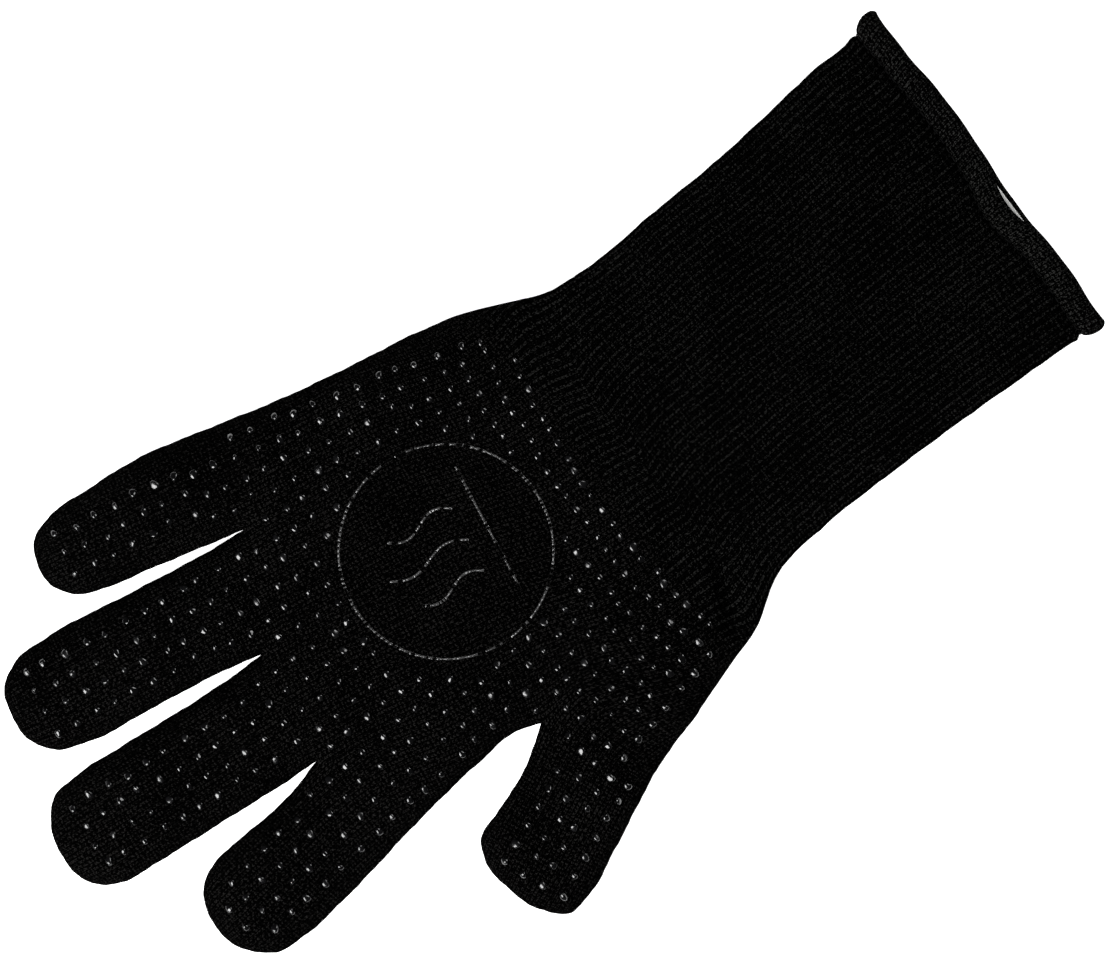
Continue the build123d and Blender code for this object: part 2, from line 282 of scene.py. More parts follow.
def points_at(line, at):
    """Points at those distances along a polyline."""
    lengths = lengths_along(line)
    return np.column_stack([np.interp(at, lengths, line[:, k]) for k in range(line.shape[1])])


def resample(line, count):
    """That many points, evenly spaced along a polyline."""
    return points_at(line, np.linspace(0.0, lengths_along(line)[-1], count))


def curve_through(points, spacing):
    """A smooth curve through the points, sampled evenly."""
    points = np.array(points, float)
    knots = lengths_along(points)
    fine = np.linspace(0.0, knots[-1], int(knots[-1] / 0.2))
    dense = np.column_stack([smooth_through(knots, points[:, k], fine) for k in (0, 1)])
    return resample(dense, max(3, round(knots[-1] / spacing) + 1))


def unevenness(at, phase):
    """Small ups and downs of a knitted edge, along its length."""
    return sum(height * np.sin(turn * at + share * phase) for height, turn, share in EDGE_WAVES)


def cuff_side(side, s):
    """How far across the cuff its side lies at s."""
    s = np.asarray(s, float)
    place = smooth_through([p[0] for p in side], [p[1] for p in side], s)
    return place + unevenness(s, side[0][1]) * smoothstep(s, CUFF_TOP + 4.0, CUFF_TOP + 20.0)


def from_cuff(s, q):
    """The plan's (x, y) of a point given in the cuff's own directions."""
    s = np.asarray(s, float)[..., None]
    q = np.asarray(q, float)[..., None]
    return WRIST + s * CUFF_ALONG + q * CUFF_ACROSS


def side_points(side, stations):
    """Points of one side of the cuff at those stations."""
    stations = np.asarray(stations, float)
    return from_cuff(stations, cuff_side(side, stations))


def inward(outline):
    """Unit vectors from each point of the outline into the glove."""
    ahead = unit(np.vstack([outline[1:], outline[-1:]]) - np.vstack([outline[:1], outline[:-1]]))
    return -left_of(ahead)


def hand_outline(spacing):
    """The hand's outline from the cuff's thumb side round to its other side."""
    lead = CUFF_TOP - OUTLINE_LEAD * np.arange(3)
    first = list(side_points(THUMB_SIDE, lead)) + THUMB_RUN
    last = LITTLE_RUN + list(side_points(LITTLE_SIDE, lead[::-1]))
    runs = [first, INDEX_RUN, MIDDLE_RUN, RING_RUN, last]
    curves = [curve_through(run, spacing) for run in runs]
    outline = np.vstack([curves[0]] + [c[1:] for c in curves[1:]])
    walked = lengths_along(outline)
    ends = smoothstep(np.minimum(walked, walked[-1] - walked), *EDGE_STARTS)
    return outline + (ends * unevenness(walked, 1.0))[:, None] * inward(outline)


def whole_silhouette():
    """The hand's outline with both sides of the cuff, as one open line."""
    stations = np.arange(CUFF_TOP + OUTLINE_STEP, CUFF_PAST_HEM, OUTLINE_STEP)
    thumb = side_points(THUMB_SIDE, stations[::-1])
    little = side_points(LITTLE_SIDE, stations)
    return np.vstack([thumb, hand_outline(OUTLINE_STEP), little])


SILHOUETTE = whole_silhouette()
silhouette_tree = KDTree(len(SILHOUETTE))
for number, spot in enumerate(SILHOUETTE):
    silhouette_tree.insert((spot[0], spot[1], 0.0), number)
silhouette_tree.balance()


def to_side(xy):
    """Distance from each point to the glove's silhouette, and the unit vector towards it."""
    nearest = np.array([silhouette_tree.find((x, y, 0.0))[1] for x, y in xy], int)
    best = np.full(len(xy), np.inf)
    way = np.zeros_like(xy)
    for step in (-1, 0):
        i = np.clip(nearest + step, 0, len(SILHOUETTE) - 2)
        a = SILHOUETTE[i]
        ab = SILHOUETTE[i + 1] - a
        t = np.clip(np.sum((xy - a) * ab, axis=1) / np.sum(ab * ab, axis=1), 0.0, 1.0)
        to = a + t[:, None] * ab - xy
        distance = np.linalg.norm(to, axis=1)
        closer = distance < best
        best[closer] = distance[closer]
        way[closer] = to[closer]
    return best, way / np.maximum(best, 1e-6)[:, None]


# ---- the fabric's height field


def waves(seed, count, shortest, longest, steepness):
    """Low waves in every direction, for fabric that doesn't lie quite flat."""
    draw = np.random.default_rng(seed)
    angle = draw.uniform(0.0, 2 * pi, count)
    length = draw.uniform(shortest, longest, count)
    phase = draw.uniform(0.0, 2 * pi, count)
    size = steepness * length / sqrt(count)
    vectors = np.column_stack([np.cos(angle), np.sin(angle)]) * (2 * pi / length)[:, None]

    def at(xy):
        return np.sin(xy @ vectors.T + phase) @ size

    return at


top_waves = waves(seed=3, count=16, shortest=16.0, longest=60.0, steepness=0.014)
bottom_waves = waves(seed=5, count=12, shortest=20.0, longest=60.0, steepness=0.006)


def dent(xy, start, end, width):
    """1 on the line from start to end, falling off over width."""
    start = np.array(start)
    ab = np.array(end) - start
    t = np.clip((xy - start) @ ab / (ab @ ab), 0.0, 1.0)
    gap = np.linalg.norm(xy - start - t[:, None] * ab, axis=1)
    return np.exp(-((gap / width) ** 2))


CREASES = [  # start, end, width and depth of each soft crease of the top
    ((-27.0, -41.5), (-49.0, -36.8), 2.8, 4.2),
    ((-44.0, -31.0), (-16.0, -30.0), 3.0, 0.7),
    ((70.0, -31.0), (46.0, -36.0), 3.0, 0.8),
    ((-45.0, 33.0), (-24.0, 6.0), 5.0, 0.8),
    ((-58.0, 88.0), (-30.0, 93.0), 3.5, 0.7),
    ((-24.0, 96.0), (12.0, 94.0), 3.5, 0.7),
    ((13.0, 94.0), (49.0, 86.0), 3.5, 0.7),
    ((50.0, 80.0), (82.0, 78.0), 3.5, 0.6),
]


def roll(distance, reach):
    """Height share of a rolled side: a quarter of an ellipse, then flat."""
    t = np.clip(distance / reach, 0.0, 1.0)
    return np.sqrt(1.0 - (1.0 - t) ** 2)


def fabric(xy):
    """Top and bottom height of the fabric over each point, and its distance and way to the side."""
    distance, way = to_side(xy)
    s = (xy - WRIST) @ CUFF_ALONG
    rise = TOP_RISE - FINGER_SLACK * smoothstep(xy[:, 1], *SLACK_KNUCKLES)
    rise = rise - HEM_SLACK * smoothstep(s, *SLACK_CUFF)
    inner = smoothstep(distance, 0.0, TOP_REACH)
    top = MIDDLE_HEIGHT + rise * roll(distance, TOP_REACH)
    top = top + inner * (top_waves(xy) - TOP_SINK)
    for start, end, width, depth in CREASES:
        top = top - depth * inner * dent(xy, start, end, width)
    bottom = MIDDLE_HEIGHT - BOTTOM_DROP * roll(distance, BOTTOM_REACH)
    bottom = bottom + inner * np.abs(bottom_waves(xy))
    return top, bottom, distance, way


def surface_frame(xy, upper):
    """Points on the top or the bottom, and the outward normals there."""
    step = 0.4
    shifts = np.array([(0, 0), (step, 0), (-step, 0), (0, step), (0, -step)])
    which = 0 if upper else 1
    z = [fabric(xy + shift)[which] for shift in shifts]
    slope_x = (z[1] - z[2]) / (2 * step)
    slope_y = (z[3] - z[4]) / (2 * step)
    normal = unit(np.column_stack([-slope_x, -slope_y, np.ones(len(xy))]))
    return np.column_stack([xy, z[0]]), normal if upper else -normal


def arc_excess(distance, rise, reach):
    """How much longer the way over the rolled side is than its plan, from the side inwards."""
    t = np.linspace(0.0, 1.0, 400) ** 2
    plan = t * reach
    height = rise * roll(plan, reach)
    arc = np.concatenate([[0.0], np.cumsum(np.hypot(np.diff(plan), np.diff(height)))])
    return np.interp(distance, plan, arc - plan), arc[-1] - reach


def inside_part(xy, part):
    """How far inside its own sides each point lies, for the thumb or a finger."""
    across = (xy - THUMB_FOOT) @ THUMB_ACROSS - THUMB_RIGHT
    if part == "thumb":
        return across
    number = [finger[0] for finger in FINGERS].index(part)
    left, right = [gap_at(gap, xy[:, 1]) for gap in GAPS[number: number + 2]]
    return np.minimum(np.minimum(xy[:, 0] - left, right - xy[:, 0]), -across)


def knit_place(xy, distance, way):
    """Stitch numbers across and along the knit at each point of the fabric."""
    excess, total = arc_excess(distance, TOP_RISE, TOP_REACH)
    flat = xy + way * (total - excess)[:, None]
    place = flat.copy()
    for part, centre, direction, turn, start, end in KNIT_TURNS:
        ahead = (xy - centre) @ direction
        weight = smoothstep(ahead, start, end)
        if part != "cuff":
            softness = 0.5 + TURN_SOFTNESS * (1.0 - smoothstep(ahead, *TURN_SHARPENS))
            weight = weight * smoothstep(inside_part(xy, part) / softness, -1.0, 1.0)
        a = radians(-turn)
        rotation = np.array([[cos(a), -sin(a)], [sin(a), cos(a)]])
        turned = (flat - centre) @ rotation.T + centre
        place = place + weight[:, None] * (turned - flat)
    return place / np.array([STITCH_WIDTH, STITCH_LENGTH])


# ---- meshes


def add_object(name, data):
    """A new object in the scene."""
    obj = bpy.data.objects.new(name, data)
    bpy.context.scene.collection.objects.link(obj)
    return obj


def make_mesh(name, points, faces, knit=None):
    """A smooth mesh object from points in millimetres."""
    mesh = bpy.data.meshes.new(name)
    mesh.from_pydata((np.asarray(points) * MM).tolist(), [], [list(map(int, f)) for f in faces])
    if knit is not None:
        attribute = mesh.attributes.new("knit", "FLOAT_VECTOR", "POINT")
        full = np.column_stack([knit, np.zeros(len(knit))])
        attribute.data.foreach_set("vector", full.astype(np.float32).ravel())
    mesh.shade_smooth()
    mesh.update()
    return add_object(name, mesh)


def grid_faces(rows, columns, closed, flipped=False, base=0):
    """Quads of a grid whose points are numbered row by row from base."""
    faces = []
    for row in range(rows - 1):
        for column in range(columns if closed else columns - 1):
            i = base + row * columns + column
            j = base + row * columns + (column + 1) % columns
            faces.append((i, i + columns, j + columns, j) if flipped else (i, j, j + columns, i + columns))
    return faces


def inside(points, polygon):
    """Which points lie inside the closed polygon."""
    found = np.zeros(len(points), bool)
    x, y = points[:, 0], points[:, 1]
    ends = np.roll(polygon, -1, axis=0)
    for (ax, ay), (bx, by) in zip(polygon, ends):
        if ay == by:
            continue
        crosses = (ay > y) != (by > y)
        found ^= crosses & (x < (bx - ax) * (y - ay) / (by - ay) + ax)
    return found


def honeycomb(low, high, pitch):
    """Points of a honeycomb grid that fills a box."""
    rows = np.arange(low[1], high[1], pitch * 0.866)  # half the root of 3
    columns = np.arange(low[0], high[0], pitch)
    x, y = np.meshgrid(columns, rows)
    x = x + np.where(np.arange(len(rows)) % 2, pitch / 2, 0.0)[:, None]
    return np.column_stack([x.ravel(), y.ravel()])


def cut_lines():
    """The straight lines along which the hand's fabric is cut into its pieces."""
    lines = []
    for reach in THUMB_CUTS:
        foot = THUMB_FOOT + reach * THUMB_ALONG
        lines.append((foot + (THUMB_RIGHT + 0.1) * THUMB_ACROSS, foot + THUMB_LEFT * THUMB_ACROSS))
    lines += ROOT_LINES
    for (*_, tip), left, right in zip(FINGERS, GAPS, GAPS[1:]):
        ends = [gap_at(gap, tip[0]) for gap in (left, right)]
        lines.append(((ends[0], tip[0]), (ends[1], tip[0])))
    return lines


def gap_at(gap, y):
    """x of the line between two fingers at y."""
    return gap[0] + (gap[1] - gap[0]) * (y - GAP_FOOT) / (GAP_HEAD - GAP_FOOT)


def segment_of(xy):
    """The name of the segment that each point of the hand belongs to."""
    names = np.full(len(xy), "palm", dtype=object)
    x, y = xy[:, 0], xy[:, 1]
    along = (xy - THUMB_FOOT) @ THUMB_ALONG
    across = (xy - THUMB_FOOT) @ THUMB_ACROSS
    thumb = across > THUMB_RIGHT
    names[thumb & (along > THUMB_CUTS[0])] = "thumb_base"
    names[thumb & (along > THUMB_CUTS[1])] = "thumb_tip"
    for (name, _, base, tip), left, right in zip(FINGERS, GAPS, GAPS[1:]):
        mine = (x > gap_at(left, y)) & (x < gap_at(right, y)) & ~(thumb & (along > THUMB_CUTS[0]))
        names[mine & (y > base[0])] = f"{name}_base"
        names[mine & (y > tip[0])] = f"{name}_tip"
    return names


def hand_plan(inset, spacing, rings, pitch, foot):
    """Triangles of the hand's plan, cut along the segments' lines."""
    outline = hand_outline(spacing)
    if inset:
        outline = outline + inset * inward(outline)
        outline[0] = side_points(THUMB_SIDE, [CUFF_TOP])[0] + inset * CUFF_ACROSS
        outline[-1] = side_points(LITTLE_SIDE, [CUFF_TOP])[0] - inset * CUFF_ACROSS
    foot_line = from_cuff(np.full(len(foot), CUFF_TOP), foot)
    border = np.vstack([outline, foot_line[::-1]])
    points = [border]
    edges = [(i, (i + 1) % len(border)) for i in range(len(border))]
    ways = inward(outline)
    for offset in rings:
        ring = outline + offset * ways
        ring = ring[to_side(ring)[0] > inset + 0.93 * offset]
        points.append(ring[inside(ring, border)])
    margin = inset + (rings[-1] if rings else 0.0) + 0.55 * pitch
    grid = honeycomb(border.min(0), border.max(0), pitch)
    grid = grid[inside(grid, border)]
    grid = grid[to_side(grid)[0] > margin]
    clear = (grid - WRIST) @ CUFF_ALONG < CUFF_TOP - 0.5 * pitch
    points.append(grid[clear])
    for line in cut_lines():
        line = np.array(line, float)
        cut = resample(line, round(np.linalg.norm(line[1] - line[0]) / spacing) + 1)
        start = sum(len(p) for p in points)
        points.append(cut)
        edges += [(start + i, start + i + 1) for i in range(len(cut) - 1)]
    every = [Vector((x, y)) for x, y in np.vstack(points)]
    result = delaunay_2d_cdt(every, edges, [], 0, 1e-5, False)
    xy = np.array([tuple(v) for v in result[0]])
    faces = np.array(result[2], int)
    middle = xy[faces].mean(axis=1)
    faces = faces[inside(middle, border)]
    return xy, faces, segment_of(xy[faces].mean(axis=1))


def hand_pieces(prefix, inset, plan):
    """The pieces of one layer of the hand: the top and bottom of each segment, joined at the side."""
    xy, faces, owners = plan
    top, bottom, distance, way = fabric(xy)
    if inset:
        inner = np.clip(distance - inset, 0.0, None)
        shape = [roll(inner, reach - inset) / np.maximum(roll(distance, reach), 1e-3)
                 for reach in (TOP_REACH, BOTTOM_REACH)]
        top = MIDDLE_HEIGHT + (top - MIDDLE_HEIGHT - inset * roll(distance, TOP_REACH)) * shape[0]
        bottom = MIDDLE_HEIGHT + (bottom - MIDDLE_HEIGHT + inset * roll(distance, BOTTOM_REACH)) * shape[1]
    else:
        inner = distance
    joined = inner < 1e-3
    top[joined] = MIDDLE_HEIGHT
    bottom[joined] = MIDDLE_HEIGHT
    knit = knit_place(xy, distance, way)
    count = len(xy)
    lower = np.where(joined, np.arange(count), np.arange(count) + count)
    points = np.vstack([np.column_stack([xy, top]), np.column_stack([xy, bottom])])
    places = np.vstack([knit, knit])
    made = {}
    for segment in sorted(set(owners)):
        mine = faces[owners == segment]
        both = np.vstack([mine, lower[mine][:, ::-1]])
        used, compact = np.unique(both, return_inverse=True)
        made[segment] = make_mesh(
            f"{prefix}_{segment}", points[used], compact.reshape(both.shape), places[used]
        )
    return made


def stand_in(node):
    """Hides the CAD node that a piece stands for."""
    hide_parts(node)


def bend_and_stand_in(pieces, node_ending):
    """Rides the palm's piece on the palm and bakes the others' transforms, and hides the CAD node that each
    one stands for.
    """
    for segment, obj in pieces.items():
        attach(obj, segment)
        stand_in(f"{segment}_{node_ending}")


def attach(obj, segment):
    """Rides a piece on the palm if it is the palm's, and otherwise bakes its transform into its mesh."""
    if segment == "palm":
        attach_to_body(obj, "palm")
        return
    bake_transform(obj)


# ---- cuff

COLUMNS = RIBS * RIB_SAMPLES  # on each side
FACE_SAMPLES = 260
NARROWEST = 16.0  # where the cuff is narrowest
FAN_OUT = 4.0  # how much the widening above there is left to the outermost ribs


def cuff_faces(s):
    """The cuff's top from its thumb side across, and its bottom from there back, as lines of (q, z)."""
    left = cuff_side(THUMB_SIDE, s)
    right = cuff_side(LITTLE_SIDE, s)
    swing = np.linspace(-pi / 2, pi / 2, FACE_SAMPLES)
    q = (left + right) / 2 + (right - left) / 2 * np.sin(swing)
    top, bottom = fabric(from_cuff(np.full(len(q), s), q))[:2]
    top[[0, -1]] = MIDDLE_HEIGHT
    bottom[[0, -1]] = MIDDLE_HEIGHT
    return np.column_stack([q, top]), np.column_stack([q, bottom])[::-1]


@functools.cache
def cuff_section(s):
    """Points (q, z) round the cuff at s, from the thumb's side over the top and back, and normals.
    The ribs run straight up past the wrist, and only the outer ones fan out into the palm."""
    halves = []
    share = np.linspace(-0.5, 0.5, COLUMNS + 1)
    for face, narrow in zip(cuff_faces(s), cuff_faces(max(s, NARROWEST))):
        length = lengths_along(face)[-1]
        straight = lengths_along(narrow)[-1]
        spread = (length - straight) / 2 * np.sign(share) * np.abs(2 * share) ** FAN_OUT
        halves.append(points_at(face, length / 2 + straight * share + spread)[:-1])
    ring = np.vstack(halves)
    ahead = unit(np.roll(ring, -1, axis=0) - np.roll(ring, 1, axis=0))
    return ring, left_of(ahead)


def section_at(s):
    """The cuff's section at s, to the micrometre, worked out once."""
    return cuff_section(round(float(s), 3))


HEM_LINE = (106.0, 132.0)  # s over which the fabric takes on the hem's own line
HEM_DIP = 2.8  # how far the front is drawn back over the label
HEM_BULGES = [(1.6, 28.0, 22.0), (0.9, -30.0, 14.0)]  # how far forward, where across, and how wide
HEM_FORWARD = 0.4
HEM_BACK_FORWARD = 0.7  # the back shows this much past the front


def hill(q, centre, width):
    """1 at the centre, falling off over width."""
    return np.exp(-(((q - centre) / width) ** 2))


def hem_shift(ring, s):
    """How far the fabric near the hem is drawn back along the cuff: a dip in front, and small waves."""
    q = ring[:, 0]
    front = np.arange(len(ring)) < COLUMNS
    dip = np.where(front, HEM_DIP, 0.0) * hill(q, LABEL_ACROSS, 10.0)
    wave = 0.2 * np.sin(q * 0.13 + np.where(front, 0.4, 2.6)) + 0.1 * np.sin(q * 0.41 + 1.0)
    back = np.where(front, 0.0, -HEM_BACK_FORWARD)
    bulge = sum(height * hill(q, centre, width) for height, centre, width in HEM_BULGES)
    return (dip + wave + back - bulge - HEM_FORWARD) * smoothstep(s, *HEM_LINE)


GROOVE_DEPTH = 1.6
GROOVE_START = 124.0
RIBS_FULL = 6.0  # the ribs have their full depth from here on
RIB_MEAN = 0.6  # height share that lies on the fabric's outer face
# Height share of the ribs at each point round the cuff, 1 on a rib and 0 between two.
RIB_HEIGHTS = np.abs(np.sin(pi * np.arange(2 * COLUMNS) / RIB_SAMPLES)) ** 0.8


def cuff_ring(s, inset):
    """One row of points round the cuff, inset from the fabric's outer face."""
    ring, normal = section_at(s)
    moved = ring - normal * np.asarray(inset, float).reshape(-1, 1)
    xy = from_cuff(s - hem_shift(ring, s), moved[:, 0])
    return np.column_stack([xy, moved[:, 1]])


def cuff_knit(s):
    """Stitch numbers for one row of the cuff, joined to the hand's at the cuff's top."""
    column = np.arange(2 * COLUMNS)
    column = np.where(column <= COLUMNS, column, 2 * COLUMNS - column)
    ribbed = 2.0 * column / RIB_SAMPLES - RIBS + RIB_START
    ring = section_at(s)[0]
    xy = from_cuff(np.full(len(ring), s), ring[:, 0])
    distance, way = to_side(xy)
    plain = knit_place(xy, distance, way)
    weight = float(smoothstep(s, CUFF_TOP, CUFF_TOP + 14.0))
    across = plain[:, 0] * (1 - weight) + ribbed * weight
    return np.column_stack([across, plain[:, 1]])


def tube(name, rows, knit_rows):
    """A tube from rows of points that all have the same number of points."""
    faces = grid_faces(len(rows), len(rows[0]), closed=True, flipped=True)
    return make_mesh(name, np.vstack(rows), faces, np.vstack(knit_rows))


def cuff_skin():
    """The ribbed knit from below the palm to the seam of the hem band."""
    stations = np.concatenate([
        np.arange(CUFF_TOP, 14.0, 1.5),
        np.arange(14.5, 122.0, 2.6),
        [122.6, GROOVE_START, 124.9, 125.5, 126.0, CUFF_GROOVE],
    ])
    rows = []
    for s in stations:
        fade = smoothstep(s, CUFF_TOP, RIBS_FULL) * (1 - 0.6 * smoothstep(s, GROOVE_START, 126.0))
        depth = RIB_DEPTH * fade * (RIB_MEAN - RIB_HEIGHTS)
        rows.append(cuff_ring(s, depth + GROOVE_DEPTH * smoothstep(s, GROOVE_START, CUFF_GROOVE)))
    return tube("cuff_ribs", rows, [cuff_knit(s) for s in stations])


HEM_RIB_DEPTH = 0.35
HEM_PROFILE = [  # (s, inset) from the groove over the hem's edge and back inside
    (CUFF_GROOVE, GROOVE_DEPTH), (126.4, 0.7), (126.9, 0.0), (127.8, -0.5), (129.2, -0.75),
    (130.9, -0.7), (132.3, -0.4), (133.3, 0.1), (133.9, 0.7), (134.25, 1.4), (134.3, 2.0),
    (134.1, 2.7), (133.6, 3.2), (132.8, 3.5), (131.2, 3.65), (129.0, 3.65), (127.0, 3.6),
    (125.5, 3.55),
]


def hem_band():
    """The folded band round the hem."""
    rows = []
    places = []
    for (s, inset), travelled in zip(HEM_PROFILE, lengths_along(HEM_PROFILE)):
        outside = 1.0 - smoothstep(inset, 0.4, GROOVE_DEPTH)
        rows.append(cuff_ring(s, inset + HEM_RIB_DEPTH * outside * (1 - RIB_HEIGHTS)))
        place = cuff_knit(CUFF_GROOVE)
        place[:, 1] += travelled / STITCH_LENGTH
        places.append(place)
    return tube("cuff_hem_band", rows, places)


LINING_GAP = 0.08
LINING_STRIDE = 5  # the lining has every fifth point of the ribs


def cuff_lining():
    """The cotton lining's inner face, from the hem band up to the palm."""
    stations = np.concatenate([np.arange(CUFF_TOP, 124.0, 4.0), [125.0, 127.5]])
    rows = []
    places = []
    for s in stations:
        inset = FABRIC_WALL - LINING_WALL * (1 - smoothstep(s, CUFF_TOP, CUFF_TOP + 8.0)) + LINING_GAP
        rows.append(cuff_ring(s, inset)[::LINING_STRIDE])
        places.append(cuff_knit(s)[::LINING_STRIDE])
    return tube("cuff_cotton", rows, places)


THREAD_INSET = 1.1
THREAD_RADIUS = 0.32
THREAD_SIDES = 6
STITCH_PITCH = 3.4
STITCH_STEPS = 8  # samples from stitch to stitch
STITCH_RINGS = 7  # of which each stitch has this many, and the rest is the gap


def hem_stitches():
    """Thread stitches laid round the cuff in the groove above the hem band."""
    outer = cuff_ring(CUFF_GROOVE - 0.15, THREAD_INSET)
    ring = np.vstack([outer, outer[:1]])
    count = int(lengths_along(ring)[-1] / STITCH_PITCH)
    fine = resample(ring, count * STITCH_STEPS + 1)
    last = STITCH_RINGS - 1
    points = []
    faces = []
    for stitch in range(count):
        base = len(points)
        line = fine[stitch * STITCH_STEPS: stitch * STITCH_STEPS + STITCH_RINGS]
        for i, centre in enumerate(line):
            ahead = unit(line[min(i + 1, last)] - line[max(i - 1, 0)])
            side = unit(np.cross(ahead, (0.0, 0.0, 1.0)))
            up = np.cross(side, ahead)
            thick = THREAD_RADIUS * sqrt(1 - ((i - last / 2) / 3.3) ** 2)
            for k in range(THREAD_SIDES):
                a = 2 * pi * k / THREAD_SIDES + 0.5 * i
                points.append(centre + thick * (cos(a) * side + sin(a) * up))
        faces += grid_faces(STITCH_RINGS, THREAD_SIDES, closed=True, base=base)
        faces.append([base + k for k in range(THREAD_SIDES)][::-1])
        faces.append([base + last * THREAD_SIDES + k for k in range(THREAD_SIDES)])
    return make_mesh("cuff_hem_stitches", points, faces)


def care_label():
    """A blank woven label on the inside of the cuff's back wall, whose end lifts off the lining."""
    across = np.linspace(-LABEL_WIDTH / 2, LABEL_WIDTH / 2, 16)
    along = np.linspace(0.0, LABEL_LENGTH, 22)
    rows = []
    for a in along:
        s = CUFF_HEM - LABEL_SHORT - a
        q = LABEL_ACROSS + across + 0.2 * sin(a * 0.3)
        xy = from_cuff(np.full(len(q), s), q)
        bottom = fabric(xy)[1]
        lift = FABRIC_WALL + LABEL_THICKNESS + LABEL_CURL * exp(-a / 1.6)
        lift = lift + 0.12 * np.sin(across * 0.8 + a * 0.35)
        rows.append(np.column_stack([xy, bottom + lift]))
    points = np.vstack(rows)
    faces = grid_faces(len(along), len(across), closed=False)
    grid = np.stack(np.meshgrid(across, along), axis=-1).reshape(-1, 2)
    obj = make_mesh("cuff_label", points, faces, grid)
    thick = obj.modifiers.new("thickness", "SOLIDIFY")
    thick.thickness = LABEL_THICKNESS * MM
    thick.offset = 0.0
    bake_modifiers(obj)
    return obj


def bake_modifiers(obj):
    """Applies the object's modifiers to its mesh."""
    bpy.context.view_layer.update()
    graph = bpy.context.evaluated_depsgraph_get()
    mesh = bpy.data.meshes.new_from_object(obj.evaluated_get(graph))
    obj.modifiers.clear()
    obj.data = mesh
    obj.data.shade_smooth()


# ---- silicone


def dot_centres(node):
    """Centres (x, y) of the dots of a CAD node, in millimetres, in a fixed order."""
    left = np.array([v.co for v in frame["nodes"][node].data.vertices])[:, :2] / MM
    centres = []
    while len(left):
        one = np.linalg.norm(left - left[0], axis=1) < 2.5 * DOT_RADIUS
        centres.append((left[one].min(0) + left[one].max(0)) / 2)
        left = left[~one]
    return np.array(sorted(centres, key=lambda c: (round(c[1], 1), round(c[0], 1))))


def finger_rows(foot, degrees, columns):
    """Dots in rows along a heading, from a foot in the middle of the rows."""
    direction = heading(degrees)
    side = -left_of(direction)
    points = []
    for step in range(DOT_STEPS):
        for column in range(columns):
            across = (column - (columns - 1) / 2) * DOT_COLUMN_PITCH
            points.append(foot + (DOT_FIRST_STEP + step * DOT_ROW_PITCH) * direction + across * side)
    return points


def palm_fan():
    """Dots on arcs about the fan's centre, above the wrist and clear of the emblem."""
    points = []
    for ring in FAN_RINGS:
        for spoke in FAN_SPOKES:
            angle = pi / 2 + (spoke + 0.5) * FAN_ANGLE
            point = FAN_CENTRE + ring * FAN_PITCH * np.array([cos(angle), sin(angle)])
            above = (WRIST - point) @ CUFF_ALONG > WRIST_BARE
            clear = np.linalg.norm(point - EMBLEM_CENTRE) > EMBLEM_RADIUS + 2 * DOT_RADIUS
            if above and clear:
                points.append(point)
    return points


def front_dots():
    """Centres of all dots of the palm side, and the segment that each one stands on."""
    rows = [finger_rows(*row) for row in DOT_ROWS]
    points = np.array([point for row in rows for point in row])
    fan = np.array(palm_fan())
    for foot, degrees, columns in DOT_ROWS:
        direction = heading(degrees)
        ahead = (fan - foot) @ direction
        beside = np.abs((fan - foot) @ left_of(direction))
        fan = fan[(ahead < DOT_FIRST_STEP - 0.6 * DOT_ROW_PITCH) | (beside > DOT_ROWS_REACH)]
    apart = np.array([np.linalg.norm(points - point, axis=1).min() for point in fan])
    points = np.vstack([fan[apart > 0.7 * DOT_ROW_PITCH], points])
    points = points[inside(points, hand_outline(1.0))]
    points = points[to_side(points)[0] > DOT_MARGIN]
    return points, segment_of(points)


def dot_cloud(name, centres, upper, seed):
    """Raised silicone dots on the fabric."""
    draw = np.random.default_rng(seed)
    centres = centres + draw.normal(0.0, DOT_SCATTER, centres.shape)
    spots, normals = surface_frame(centres, upper)
    angles = np.linspace(0.0, 2 * pi, DOT_SIDES, endpoint=False)
    points = []
    faces = []
    for spot, normal in zip(spots, normals):
        size = DOT_RADIUS * draw.uniform(*DOT_SIZES)
        tall = DOT_HEIGHT * draw.uniform(*DOT_HEIGHTS)
        turn = draw.uniform(0.0, pi)
        normal = unit(normal + draw.normal(0.0, DOT_LEAN, 3))
        side = unit(np.cross((0.0, 1.0, 0.0), normal))
        other = np.cross(normal, side) * draw.uniform(*DOT_SQUEEZE)
        base = len(points)
        wobble = 1.0
        for lobe, (strength, count) in enumerate(DOT_LOBES, 1):
            wobble = wobble + strength * np.sin(count * angles + lobe * turn)
        for reach, height in DOT_PROFILE:
            for a, w in zip(angles, wobble):
                flat = size * reach * w * (cos(a) * side + sin(a) * other)
                points.append(spot + flat + tall * height * normal)
        points.append(spot + tall * normal)
        faces += grid_faces(len(DOT_PROFILE), DOT_SIDES, closed=True, base=base)
        i = base + (len(DOT_PROFILE) - 1) * DOT_SIDES
        for k in range(DOT_SIDES):
            faces.append((i + k, i + (k + 1) % DOT_SIDES, len(points) - 1))
    points = np.array(points)
    points[:, 2] = np.maximum(points[:, 2], 0.0)  # the table presses on the dots of the back
    return make_mesh(name, points, faces)


